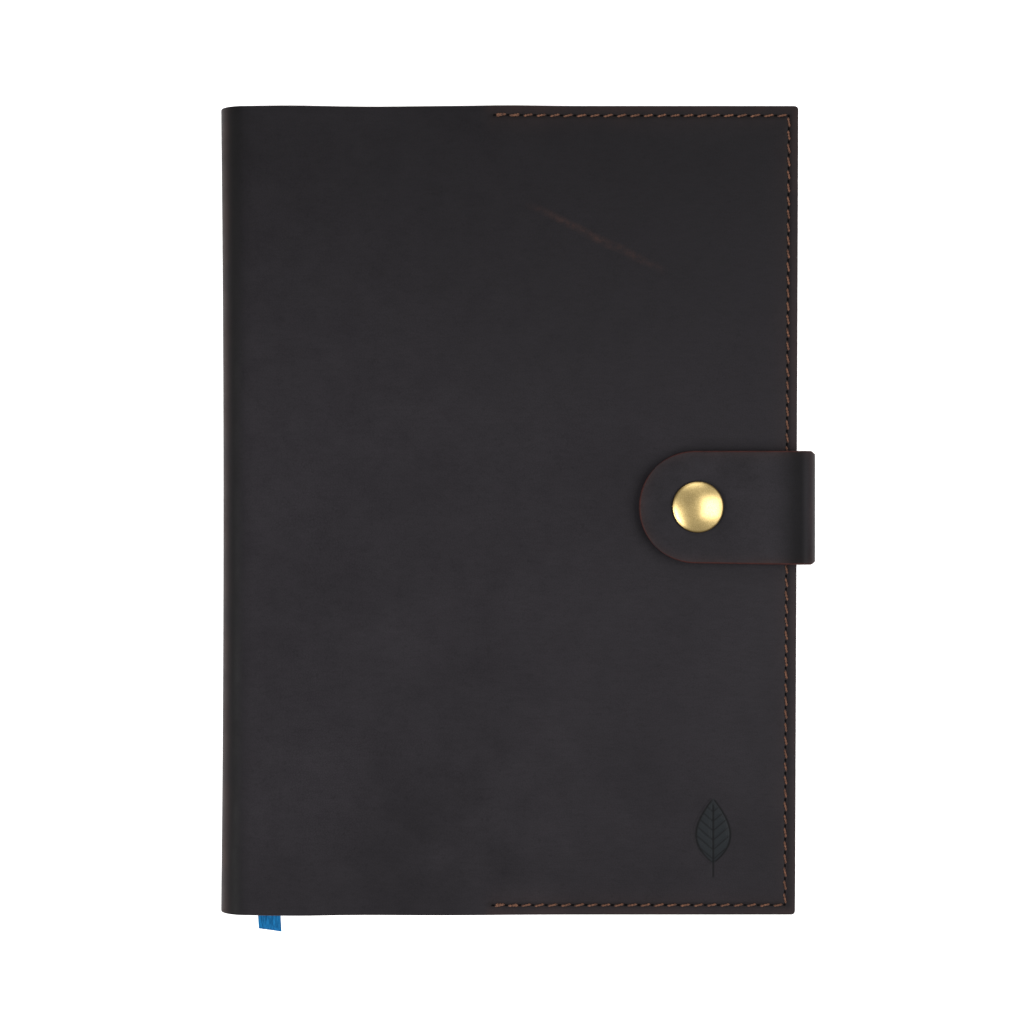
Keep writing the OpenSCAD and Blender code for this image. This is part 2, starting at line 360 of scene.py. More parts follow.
def leather(name, dark, light, red):
    """Waxed leather: fine pebbled grain, slow changes of tone with a painted light falloff over the
    cover, reddish where rubbed and where a highlight is painted, and darker where painted shade is
    marked.
    """
    s = Shader(name, dark, 0.5, Specular_IOR_Level=0.1)
    slow = s.noise(22, 4, 0.6)
    cloud = s.noise(130, 5, 0.65)
    tone = s.math("ADD", s.math("MULTIPLY", slow, 0.65), s.math("MULTIPLY", cloud, 0.35))
    base = s.mix(s.spread(tone, 0.36, 0.64), dark, light)
    fibre = s.noise(1, 4, 0.65, s.stretched((300, 1100, 300)))
    # Painted light falloff: darker towards the head, lighter low at the spine.
    base = s.times(base, painted_light_falloff(s, slow))
    base = s.times(base, s.spread(fibre, 0.3, 0.7, 0.92, 1.08))
    pores = s.cells(1500)
    pits = s.spread(pores, 0.0, 0.12, 0.72, 1.0)
    # Reddish rubbing on cut edges and margins, with a painted highlight on the spine's fold and the
    # strap's shoulder, all in one mark.
    wear_and_highlight = s.add("ShaderNodeAttribute", attribute_name="wear_and_highlight").outputs["Fac"]
    patchy = s.math("MULTIPLY", wear_and_highlight, s.spread(s.noise(90, 4, 0.6), 0.35, 0.65, 0.35, 1.0), clamp=True)
    worn_and_lit = s.mix(patchy, base, red)
    scuffed = s.mix(scuff(s), worn_and_lit, red)
    # Painted shade marked on the mesh darkens the colour here.
    shade = s.add("ShaderNodeAttribute", attribute_name="shade").outputs["Fac"]
    pitted_and_shaded = s.times(s.times(scuffed, pits), s.math("SUBTRACT", 1.0, shade))
    lines = s.add("ShaderNodeAttribute", attribute_name="stamp_lines").outputs["Fac"]
    ground = s.add("ShaderNodeAttribute", attribute_name="stamp_ground").outputs["Fac"]
    pressed = s.mix(s.math("MULTIPLY", ground, 0.6), pitted_and_shaded, (0.0076, 0.0114, 0.0128))
    s.color(s.mix(lines, pressed, (0.0015, 0.0015, 0.0018)))
    s.roughness(s.spread(s.math("ADD", cloud, s.math("MULTIPLY", pores, 0.5)), 0.3, 0.9, 0.46, 0.66))
    s.bump(fibre, 0.03 * MM, 0.35)
    wrinkle = s.noise(1, 3, 0.55, s.stretched((45, 330, 45), 0.12))
    ridge = s.math("ABSOLUTE", s.math("SUBTRACT", wrinkle, 0.5))
    fine = s.spread(ridge, 0.0, 0.035)
    calm = s.spread(s.noise(14, 2), 0.5, 0.62, 1.0, 0.0)
    s.bump(s.math("MAXIMUM", fine, calm), 0.03 * MM, 0.5)
    s.bump(s.spread(pores, 0.0, 0.25), 0.02 * MM, 0.3)
    s.bump(s.noise(3800, 3, 0.6), 0.012 * MM, 0.5)
    return s.material


def painted_light_falloff(s, slow):
    """Painted light falloff over the cover: darker towards the head, lightest low at the spine."""
    parts = s.add("ShaderNodeSeparateXYZ")
    s.link(s.where, parts.inputs[0])
    uneven = s.math("MULTIPLY", s.math("SUBTRACT", slow, 0.5), 0.12)
    y = s.math("ADD", parts.outputs[1], uneven)
    head = s.spread(y, 0.02, 0.1, 1.0, 0.55)
    tail = s.spread(y, -0.11, -0.075, 0.86, 1.0)
    side = s.spread(parts.outputs[0], -0.07, 0.03, 1.12, 0.98)
    return s.math("MULTIPLY", s.math("MULTIPLY", head, tail), side)


def scuff(s):
    """A long faint scrape that runs down to the right across the upper front."""
    middle = (24 * MM, 74.5 * MM)
    turn = math.radians(26.5)
    half_long, half_wide = 22 * MM, 1.4 * MM
    parts = s.add("ShaderNodeSeparateXYZ")
    s.link(s.where, parts.inputs[0])
    x = s.math("SUBTRACT", parts.outputs[0], middle[0])
    y = s.math("SUBTRACT", parts.outputs[1], middle[1])
    along = s.math(
        "SUBTRACT", s.math("MULTIPLY", x, math.cos(turn)), s.math("MULTIPLY", y, math.sin(turn))
    )
    across = s.math("ADD", s.math("MULTIPLY", x, math.sin(turn)), s.math("MULTIPLY", y, math.cos(turn)))
    wander = s.math("MULTIPLY", s.math("SUBTRACT", s.noise(60, 3, 0.6), 0.5), 3 * MM)
    off = s.math("ABSOLUTE", s.math("ADD", across, wander))
    near = s.spread(off, 0, half_wide, 1, 0)
    inside = s.spread(s.math("ABSOLUTE", along), half_long * 0.5, half_long, 1, 0)
    front = s.spread(parts.outputs[2], TOP - 2 * LEATHER_T, TOP - LEATHER_T)
    broken = s.spread(s.noise(420, 4, 0.7), 0.38, 0.62, 0.08, 0.5)
    return s.math("MULTIPLY", s.math("MULTIPLY", near, inside), s.math("MULTIPLY", front, broken))


def cut_edge(name, color):
    """The cut side of the leather: fibres in dark burgundy stain."""
    s = Shader(name, color, 0.6, Specular_IOR_Level=0.15)
    fibre = s.noise(1, 4, 0.7, s.stretched((600, 600, 3200)))
    s.color(s.mix(s.spread(fibre, 0.3, 0.7), tuple(c * 0.45 for c in color), color))
    s.bump(fibre, 0.05 * MM, 0.7)
    return s.material


def flesh_side(name, color):
    """The suede-like back of the leather."""
    s = Shader(name, color, 0.92, Specular_IOR_Level=0.1, Sheen_Weight=0.05, Sheen_Roughness=0.5)
    nap = s.noise(900, 5, 0.75)
    cloud = s.noise(60, 4, 0.6)
    tone = s.math("ADD", s.math("MULTIPLY", nap, 0.5), s.math("MULTIPLY", cloud, 0.5))
    dark = tuple(c * 0.6 for c in color)
    light = tuple(min(1, c * 1.35) for c in color)
    s.color(s.mix(s.spread(tone, 0.35, 0.65), dark, light))
    s.bump(nap, 0.08 * MM, 0.7)
    return s.material


def thread_material():
    """Waxed thread, uneven in tone along its strands."""
    s = Shader("waxed_thread", (0.08, 0.035, 0.025), 0.6, Specular_IOR_Level=0.3)
    tone = s.noise(1400, 3, 0.6)
    s.color(s.mix(s.spread(tone, 0.3, 0.7), (0.028, 0.0110, 0.0065), (0.185, 0.080, 0.043)))
    s.bump(tone, 0.03 * MM, 0.6)
    return s.material


def brass_material(name, rest=True):
    """Satin brass, a little mottled, and dark where the mesh is marked, as painted dark reflection and
    shadow round the cap's rim.
    """
    s = Shader(name, (0.66, 0.50, 0.21), 0.24, rest, Metallic=1.0)
    mottle = s.noise(5200, 3, 0.6)
    slow = s.noise(240, 3, 0.5)
    metal = s.mix(s.spread(mottle, 0.3, 0.7), (0.40, 0.275, 0.098), (0.70, 0.545, 0.255))
    # Painted dark reflection and shadow round the rim, read from the mesh.
    painted_rim_shade = s.add("ShaderNodeAttribute", attribute_name="painted_rim_shade").outputs["Fac"]
    s.color(s.mix(painted_rim_shade, metal, (0.075, 0.040, 0.010)))
    s.roughness(s.spread(slow, 0.3, 0.7, 0.29, 0.35))
    s.bump(mottle, 0.003 * MM, 0.5)
    return s.material


def steel_material():
    """Drawn steel wire."""
    s = Shader("spring_steel", (0.6, 0.6, 0.58), 0.3, False, Metallic=1.0)
    s.roughness(s.spread(s.noise(1500, 2), 0.3, 0.7, 0.22, 0.4))
    return s.material


def card_material():
    """Smooth dark blue card with short fibres."""
    s = Shader("notebook_card", (0.03, 0.045, 0.08), 0.62, False, Specular_IOR_Level=0.35)
    fibre = s.noise(1, 4, 0.7, s.stretched((500, 1900, 900), 0.5))
    s.color(s.mix(s.spread(fibre, 0.3, 0.7), (0.017, 0.026, 0.050), (0.030, 0.043, 0.076)))
    s.bump(s.noise(1100, 4, 0.7), 0.04 * MM, 0.6)
    return s.material


def paper_material(name, ruled):
    """Cream paper; a ruled face has faint lines across the page and is painted darker than the page
    edges, as painted shade against the light falling full on it.
    """
    s = Shader(name, (0.6, 0.56, 0.46), 0.85, Specular_IOR_Level=0.1)
    tone = s.spread(s.noise(900, 4, 0.7), 0.3, 0.7)
    # Painted shade: the ruled faces get a darker paper than the page edges, against the light that falls
    # full on them.
    paper = s.mix(tone, (0.56, 0.52, 0.42), (0.61, 0.57, 0.47))
    if ruled:
        pitch, margin, line = 7 * MM, 12 * MM, 0.03
        parts = s.add("ShaderNodeSeparateXYZ")
        s.link(s.where, parts.inputs[0])
        row = s.math("FRACT", s.math("DIVIDE", parts.outputs[1], pitch))
        drawn = s.math("LESS_THAN", row, line)
        end = HALF_H - 2 * margin
        inside = s.math("LESS_THAN", s.math("ABSOLUTE", parts.outputs[1]), end)
        paper = s.mix(s.math("MULTIPLY", drawn, inside), paper, (0.26, 0.31, 0.40))
    else:
        paper = s.mix(tone, (0.79, 0.73, 0.58), (0.87, 0.81, 0.67))
        # Darker stripes along the leaves of the stack: painted shade between the leaves.
        leaf = s.noise(1, 2, 0.5, s.stretched((40, 40, 9000)))
        paper = s.mix(s.spread(leaf, 0.35, 0.65), (0.62, 0.56, 0.43), paper)
        s.bump(leaf, 0.05 * MM, 0.8)
    s.color(paper)
    s.bump(s.noise(700, 4, 0.6), 0.02 * MM, 0.5)
    return s.material


def ribbon_material(name, rest=True):
    """Woven satin ribbon: long blue threads with darker ones among them, and fine ribs across."""
    s = Shader(name, (0.004, 0.09, 0.25), 0.5, rest, Specular_IOR_Level=0.05)
    warp = s.noise(1, 3, 0.7, s.stretched((3600, 260, 3600)))
    weft = s.add("ShaderNodeTexWave", wave_type="BANDS", bands_direction="Y")
    weft.inputs["Scale"].default_value = 560
    s.link(s.where, weft.inputs["Vector"])
    s.color(s.mix(s.spread(warp, 0.32, 0.68), (0.001, 0.031, 0.098), (0.010, 0.152, 0.36)))
    s.bump(weft.outputs["Fac"], 0.04 * MM, 0.6)
    s.bump(warp, 0.05 * MM, 0.7)
    return s.material


def cloth_material(name, color):
    """Plain woven cotton."""
    s = Shader(name, color, 0.9, Specular_IOR_Level=0.1)
    weave = s.add("ShaderNodeTexChecker")
    weave.inputs["Scale"].default_value = 2200
    s.link(s.where, weave.inputs["Vector"])
    dark = tuple(c * 0.8 for c in color)
    s.color(s.mix(weave.outputs["Fac"], dark, color))
    s.bump(weave.outputs["Fac"], 0.06 * MM, 0.7)
    return s.material


# Reddish brown of rubbed leather, also laid on as a painted highlight.
WEAR_AND_HIGHLIGHT_RED = (0.037, 0.0182, 0.0143)
POCKET_RED = (0.06, 0.024, 0.018)
GRAIN = leather("outer_leather_grain", (0.0100, 0.0086, 0.0106), (0.0146, 0.0128, 0.0153), WEAR_AND_HIGHLIGHT_RED)
STRAP_GRAIN = leather("strap_leather_grain", (0.0068, 0.0058, 0.0072), (0.0172, 0.0152, 0.0182), WEAR_AND_HIGHLIGHT_RED)
EDGE = cut_edge("outer_leather_edge", (0.036, 0.0105, 0.0085))
STRAP_EDGE = cut_edge("strap_edge", (0.040, 0.0100, 0.0080))
FLESH = flesh_side("outer_leather_flesh", (0.075, 0.045, 0.036))
POCKET_GRAIN = flesh_side("pocket_leather_hidden", (0.06, 0.037, 0.03))
POCKET_FACE = leather("pocket_leather_face", (0.02, 0.0145, 0.0135), (0.033, 0.0235, 0.021), POCKET_RED)
THREAD = thread_material()
# Near-black needle holes: painted shade.
HOLE_SHADE = Shader("stitch_hole_shade", (0.001, 0.001, 0.001), 0.9, Specular_IOR_Level=0.05).material
BRASS = brass_material("brass_cap")
BRASS_CAD = brass_material("brass_fittings", False)
STEEL = steel_material()
CARD = card_material()
PAPER = paper_material("page_edges", False)
RULED = paper_material("page_ruled", True)
RIBBON = ribbon_material("marker_satin")
BAND = ribbon_material("band_blue")
BAND_PALE = cloth_material("band_cream", (0.70, 0.66, 0.54))
CLOTH = cloth_material("lining_cloth", (0.70, 0.68, 0.60))


# ---------------------------------------------------------------- the leather cover

STRIP = TOP / 2 - SPINE_R
ARC = SPINE_R * math.pi / 2
FLAT = WIDTH - SPINE_R
EDGE_R = 0.4 * MM
CORNER_R = 1.1 * MM


def settle(x, y):
    """Small pulls of the used leather: the spine draws in at its middle, the fore edge at the tail."""
    from_spine = (x - SPINE_X) / WIDTH
    rise = y / HALF_H
    draw = 0.65 * MM * (1 - rise**2) * np.clip(1 - from_spine, 0, 1) ** 6
    taper = 0.45 * MM * (1 - rise) * np.clip(from_spine, 0, 1)

    def swell(middle, reach):
        return np.exp(-(((from_spine - middle) / reach) ** 2))

    head = 0.15 * swell(0.12, 0.06) - 0.18 * swell(0.27, 0.08) + 0.2 * swell(0.5, 0.07)
    tail = 0.32 * swell(0.13, 0.09) + 0.2 * swell(0.38, 0.12)
    out = np.where(rise > 0, head, tail) * np.clip(np.abs(rise) * 3 - 2, 0, 1)
    return x + draw - taper, y + np.sign(y) * out * MM


def wrap(s, depth):
    """Point (x, z) on the closed sheet, s metres from the middle of the spine towards the front."""
    s = np.asarray(s, float)
    turn = np.clip((s - STRIP) / SPINE_R, 0, math.pi / 2)
    run = np.maximum(s - STRIP - ARC, 0)
    rise = np.minimum(s, STRIP)
    nx, nz = -np.cos(turn), np.sin(turn)
    x = SPINE_X + SPINE_R + SPINE_R * nx + run - depth * nx
    z = TOP / 2 + rise + SPINE_R * nz - depth * nz
    return x, z


def round_corners(x, y):
    """Turns the square corners at the fore edge into round ones."""
    a = np.clip((x - (FORE_X - CORNER_R)) / CORNER_R, 0, 1)
    b = np.clip((np.abs(y) - (HALF_H - CORNER_R)) / CORNER_R, 0, 1)
    both = (a > 0) & (b > 0)
    x = np.where(both, FORE_X - CORNER_R + CORNER_R * a * np.sqrt(1 - b * b / 2), x)
    pulled = HALF_H - CORNER_R + CORNER_R * b * np.sqrt(1 - a * a / 2)
    y = np.where(both, np.sign(y) * pulled, y)
    return x, y


def seam_x(y):
    """The fore edge's sewn line wanders a little."""
    return FORE_X - STITCH_INSET + (0.27 * np.clip(y / HALF_H, 0, 1) - 0.17) * MM


def stitch_distance(x, y):
    """Distance to the sewn line along head, fore edge and tail."""
    line_x = seam_x(y)
    line_y = HALF_H - STITCH_INSET
    start_x = POCKET_X + STITCH_START - 0.7 * MM
    to_side = np.hypot(x - line_x, np.maximum(np.abs(y) - line_y, 0))
    beyond = np.maximum(np.maximum(start_x - x, x - line_x), 0)
    to_ends = np.hypot(np.abs(y) - line_y, beyond)
    return np.minimum(to_side, to_ends)


def leaf_stamp(x, y):
    """The blind stamp's pressed lines and its ground, each 0 to 1: a leaf with rib, veins and stalk."""
    u = (x - STAMP[0]) / STAMP_HALF[0]
    v = (y - STAMP[1]) / STAMP_HALF[1]
    blade = (v - 0.18) / 0.8
    inside = np.abs(blade) < 1
    half = np.where(inside, (1 - blade**2) * (1 - 0.25 * blade) * 0.82, -0.3)
    ground = smooth(-0.08, 0.06, half - np.abs(u))
    ends = 1 - smooth(0.93, 1.0, np.abs(blade))
    outline = np.exp(-(((half - np.abs(u)) / 0.055) ** 2)) * ends
    rib = np.exp(-((u / 0.045) ** 2)) * smooth(-1.0, -0.94, v) * (1 - smooth(0.78, 0.92, v))
    climb = (blade - np.abs(u) * 0.55) * 3.4
    vein = np.exp(-(((climb - np.round(climb)) / 0.08) ** 2)) * ground * smooth(0.14, 0.2, half)
    lines = np.maximum(np.maximum(outline, rib), 0.8 * vein)
    return lines, ground


def relief(x, y, stamped):
    """Height of the leather's outer face over the flat one."""
    height = 0.10 * MM * waves(x, y, 55 * MM, 3) + 0.02 * MM * waves(x, y, 11 * MM, 5, 9)
    near_edge = np.minimum(FORE_X - x, HALF_H - np.abs(y))
    height = height * smooth(0, 12 * MM, near_edge)
    height = height - TRENCH_D * np.exp(-((stitch_distance(x, y) / TRENCH_W) ** 2))
    height = height - 0.12 * MM * (1 - smooth(0, 2 * MM, near_edge))
    if stamped:
        lines, ground = leaf_stamp(x, y)
        height = height - 0.14 * MM * ground - 0.16 * MM * lines
    return height


def cover_half(name, mirrored, stamped):
    """Half of the cover's one sheet, from the middle of the spine to the fore edge."""
    fore_s = STRIP + ARC + FLAT
    flat_s = STRIP + ARC
    to_s = fore_s - FORE_X
    line = seam_x(0) + to_s
    around = STAMP_HALF * 1.08
    stamp_from, stamp_to = STAMP[0] - around[0] + to_s, STAMP[0] + around[0] + to_s
    fine = 0.16 * MM if stamped else 2 * MM
    us = steps([
        (0, STRIP, 0.9 * MM),
        (STRIP, flat_s, 0.5 * MM),
        (flat_s, stamp_from, 2 * MM),
        (stamp_from, stamp_to, fine),
        (stamp_to, line - ROW_HALF, 1.6 * MM),
        (line - ROW_HALF, line + ROW_HALF, 0.25 * MM),
        (line + ROW_HALF, fore_s - RIM, 0.4 * MM),
        (fore_s - RIM, fore_s, RIM),
    ])
    row = HALF_H - STITCH_INSET
    stamp_low, stamp_high = STAMP[1] - around[1], STAMP[1] + around[1]
    vs = steps([
        (-HALF_H, RIM - HALF_H, RIM),
        (RIM - HALF_H, -row - ROW_HALF, 0.4 * MM),
        (-row - ROW_HALF, -row + ROW_HALF, 0.25 * MM),
        (-row + ROW_HALF, stamp_low, 1.6 * MM),
        (stamp_low, stamp_high, fine),
        (stamp_high, row - ROW_HALF, 2.2 * MM),
        (row - ROW_HALF, row + ROW_HALF, 0.25 * MM),
        (row + ROW_HALF, HALF_H - RIM, 0.4 * MM),
        (HALF_H - RIM, HALF_H, RIM),
    ])

    def place(s, y, depth):
        flat_x = s - to_s
        lift = relief(flat_x, y, stamped) * smooth(flat_s - ARC, flat_s + 4 * MM, s)
        lift = lift * np.clip(1 - depth / LEATHER_T, 0, 1)
        x, z = wrap(s, depth - lift)
        x, y = round_corners(x, y)
        x, y = settle(x, y)
        if mirrored:
            z = TOP - z
        return np.column_stack([x, y, z])

    obj = sheet(name, us, vs, place, LEATHER_T, EDGE_R, [GRAIN, EDGE, FLESH], ("u1", "v0", "v1"))
    co = coordinates(obj)
    x, y = co[:, 0], co[:, 1]
    near_edge = np.minimum(FORE_X - x, HALF_H - np.abs(y))
    # Reddish rubbing along the spine's fold, partly a painted highlight on its outer edge.
    fold = np.exp(-(((x - SPINE_X - 0.9 * MM) / (2.2 * MM)) ** 2))
    sewn = smooth(POCKET_X - 2 * MM, POCKET_X + 2 * MM, x)
    near_fold = smooth(0.5 * TOP, TOP, np.maximum(co[:, 2], TOP - co[:, 2]))
    margin = 0.32 * np.exp(-near_edge / (2.4 * MM)) + 0.08 * (1 - smooth(0, 9 * MM, near_edge))
    mark(obj, "wear_and_highlight", 0.78 * fold * (0.45 + 0.55 * near_fold) + sewn * margin)
    # Painted shade in a band round the spine's curve and along the sewn rows.
    spine_shade = np.exp(-(((x - SPINE_X - 4.3 * MM) / (2.4 * MM)) ** 2))
    seam = np.exp(-((stitch_distance(x, y) / (0.9 * MM)) ** 2))
    mark(obj, "shade", 0.8 * spine_shade + 0.4 * seam)
    if stamped:
        lines, ground = leaf_stamp(x, y)
        outside = co[:, 2] > TOP - LEATHER_T / 2
        mark(obj, "stamp_lines", lines * outside)
        mark(obj, "stamp_ground", ground * outside)
    return obj


front_skin = cover_half("cover_front_leather", False, True)
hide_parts("cover_front", "cover_spine")
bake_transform(front_skin)
back_skin = cover_half("cover_back_leather", True, False)
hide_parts("cover_back", "cover_spine")
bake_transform(back_skin)


# ---------------------------------------------------------------- inner pockets


def pocket(name, node, body, mirrored):
    """Pocket leather, sewn down round three sides and lifted over the notebook's card."""
    border = 6 * MM
    us = steps([
        (POCKET_X, POCKET_X + 2 * MM, 0.7 * MM),
        (POCKET_X + 2 * MM, FORE_X - border, 2.5 * MM),
        (FORE_X - border, FORE_X - RIM, 0.35 * MM),
        (FORE_X - RIM, FORE_X, RIM),
    ])
    vs = steps([
        (-HALF_H, RIM - HALF_H, RIM),
        (RIM - HALF_H, border - HALF_H, 0.35 * MM),
        (border - HALF_H, HALF_H - border, 2.5 * MM),
        (HALF_H - border, HALF_H - RIM, 0.35 * MM),
        (HALF_H - RIM, HALF_H, RIM),
    ])

    def place(x, y, depth):
        near = np.minimum(FORE_X - x, HALF_H - np.abs(y))
        gap = CARD_T * smooth(2.9 * MM, 4.7 * MM, near)
        trench = TRENCH_D * np.exp(-((stitch_distance(x, y) / TRENCH_W) ** 2)) * (depth > POCKET_T / 2)
        z = TOP - LEATHER_T - gap - depth + trench
        x, y = round_corners(x, y)
        x, y = settle(x, y)
        return np.column_stack([x, y, TOP - z if mirrored else z])

    obj = sheet(name, us, vs, place, POCKET_T, 0.3 * MM, [POCKET_GRAIN, EDGE, POCKET_FACE])
    co = coordinates(obj)
    near = np.minimum(np.minimum(FORE_X - co[:, 0], HALF_H - np.abs(co[:, 1])), co[:, 0] - POCKET_X)
    mark(obj, "wear_and_highlight", 0.5 * np.exp(-near / (1.5 * MM)))
    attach(obj, body)
    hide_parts(node)


pocket("pocket_front_leather", "pocket_front", "front", False)
pocket("pocket_back_leather", "pocket_back", "back", True)


# ---------------------------------------------------------------- stitching


def stitch_rows():
    """(middle, heading, step to the next) of each stitch along head, fore edge and tail, in plan."""
    x0, y1 = POCKET_X + STITCH_START, HALF_H - STITCH_INSET
    x1, x2 = seam_x(y1), seam_x(-y1)
    made = []
    for a, b in (((x0, y1), (x1, y1)), ((x1, y1), (x2, -y1)), ((x2, -y1), (x0, -y1))):
        a, b = np.array(a), np.array(b)
        run = b - a
        count = round(np.linalg.norm(run) / STITCH_PITCH)
        heading = math.atan2(run[1], run[0])
        for i in range(count):
            made.append((a + run * (i + 0.5) / count, heading, run / count))
    return made


def back_tack(rows):
    """The row's first and last stitches are sewn twice, a little apart."""
    shift = 0.24 * MM
    extra = []
    for (middle, heading, run), side in ((rows[0], 1), (rows[1], -0.4), (rows[-2], 0.4), (rows[-1], -1)):
        across = np.array([-math.sin(heading), math.cos(heading)])
        extra.append((middle + across * shift * side - run * 0.04, heading - STITCH_LEAN, run))
    return extra


def twisted_stitch(middle, heading, seed):
    """Vertices and faces of one stitch: two strands twisted together, diving in at both ends."""
    rng = np.random.default_rng(seed)
    length = STITCH_LEN * rng.uniform(0.96, 1.06)
    lean = STITCH_LEAN * rng.uniform(0.8, 1.2)
    strand_r = 0.15 * MM
    twist_r = 0.16 * MM
    turns = 1.9
    rings, sides = 11, 6
    c, s = math.cos(heading + lean), math.sin(heading + lean)
    vertices, faces = [], []
    for strand in range(2):
        start = len(vertices)
        for i in range(rings):
            t = -1 + 2 * i / (rings - 1)
            phase = math.pi * strand + turns * math.pi * t
            arch = 0.16 * MM - 0.55 * MM * abs(t) ** 5
            along = length / 2 * t
            aside = twist_r * math.cos(phase)
            up = arch + twist_r * math.sin(phase)
            taper = 1 - 0.45 * abs(t) ** 6
            for k in range(sides):
                turn = 2 * math.pi * k / sides
                w = aside + strand_r * taper * math.cos(turn)
                h = up + strand_r * taper * math.sin(turn)
                vertices.append((middle[0] + along * c - w * s, middle[1] + along * s + w * c, h))
        for i in range(rings - 1):
            for k in range(sides):
                a, b = start + i * sides + k, start + i * sides + (k + 1) % sides
                faces.append((a, b, b + sides, a + sides))
        faces.append(tuple(start + k for k in range(sides)))
        faces.append(tuple(start + (rings - 1) * sides + k for k in range(sides)))
    return vertices, faces


def needle_hole(middle, heading):
    """A small dimple where the thread goes down, dark with painted shade."""
    sides, half_long, half_wide = 12, 0.52 * MM, 0.40 * MM
    c, s = math.cos(heading + 4 * STITCH_LEAN), math.sin(heading + 4 * STITCH_LEAN)
    vertices = []
    for size, h in ((1.0, 0.03 * MM), (0.75, 0.05 * MM), (0.55, -0.25 * MM)):
        for k in range(sides):
            turn = 2 * math.pi * k / sides
            a, b = half_long * size * math.cos(turn), half_wide * size * math.sin(turn)
            vertices.append((middle[0] + a * c - b * s, middle[1] + a * s + b * c, h))
    faces = []
    for level in range(2):
        for k in range(sides):
            a, b = level * sides + k, level * sides + (k + 1) % sides
            faces.append((a, b, b + sides, a + sides))
    faces.append(tuple(range(2 * sides, 3 * sides)))
    faces.append(tuple(range(sides)))
    return vertices, faces


def sew(name, node, body, face_z, out, seed):
    """One side of a sewn line: thread and needle holes on the face at face_z; out is 1 for up."""
    for kind, material in (("thread", THREAD), ("holes", HOLE_SHADE)):
        vertices, faces = [], []
        rows = stitch_rows()
        if kind == "thread":
            rows = rows + back_tack(rows)
        else:
            rows = [(rows[0][0] - rows[0][2], rows[0][1], rows[0][2])] + rows
        for i, (middle, heading, run) in enumerate(rows):
            if kind == "thread":
                part, part_faces = twisted_stitch(middle, heading, seed + i)
            else:
                part, part_faces = needle_hole(middle + run / 2, heading)
            start = len(vertices)
            vertices += part
            faces += [tuple(start + k for k in face) for face in part_faces]
        co = np.array(vertices)
        x, y = settle(co[:, 0], co[:, 1])
        z = face_z + out * (co[:, 2] - TRENCH_D)
        obj = new_object(f"{name}_{kind}", np.column_stack([x, y, z]), faces, [material])
        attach(obj, body)
        if node and kind == "thread":
            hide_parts(node)


POCKET_FACE_Z = TOP - LEATHER_T - POCKET_T
sew("front_stitches", "stitching_front", "front", TOP, 1, 100)
sew("front_inner_stitches", None, "front", POCKET_FACE_Z, -1, 400)
sew("back_stitches", "stitching_back", "back", 0, -1, 700)
sew("back_inner_stitches", None, "back", TOP - POCKET_FACE_Z, 1, 1000)


# ---------------------------------------------------------------- strap

LOOP_LOW, LOOP_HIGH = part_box("strap_loop")
TONGUE_LOW, TONGUE_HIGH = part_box("strap_tongue")
STRAP_T = TONGUE_HIGH.z - TONGUE_LOW.z
STRAP_R = 4.0 * MM
STRAP_HALF = (TONGUE_HIGH.y - TONGUE_LOW.y) / 2
STRAP_Y = (TONGUE_HIGH.y + TONGUE_LOW.y) / 2
STRAP_TOP = TONGUE_HIGH.z
STRAP_EDGE_R = 0.35 * MM
STRAP_LEATHERS = [STRAP_GRAIN, STRAP_EDGE, FLESH]
STRAP_SIDES = ("u0", "v0", "v1")


def hump(past_crease):
    """How far the strap swells outwards, by distance along it past the crease."""
    return 0.32 * MM * np.exp(-(((past_crease - 1.6 * MM) / (2.6 * MM)) ** 2))


def crease_shade(x):
    """Painted shade: the leather is darker in the valley before the strap turns down."""
    reach = np.where(x < CREASE_X, 5.0 * MM, 2.0 * MM)
    return 0.72 * np.exp(-(((x - CREASE_X) / reach) ** 2))


def flare(x, v):
    """The strap spreads a little towards the fore edge, on its lower side."""
    widest = 0.45 * MM
    along = smooth(SNAP[0] - 10 * MM, CREASE_X + 4 * MM, x)
    return v - widest * along * np.clip(-v / STRAP_HALF, 0, 1)


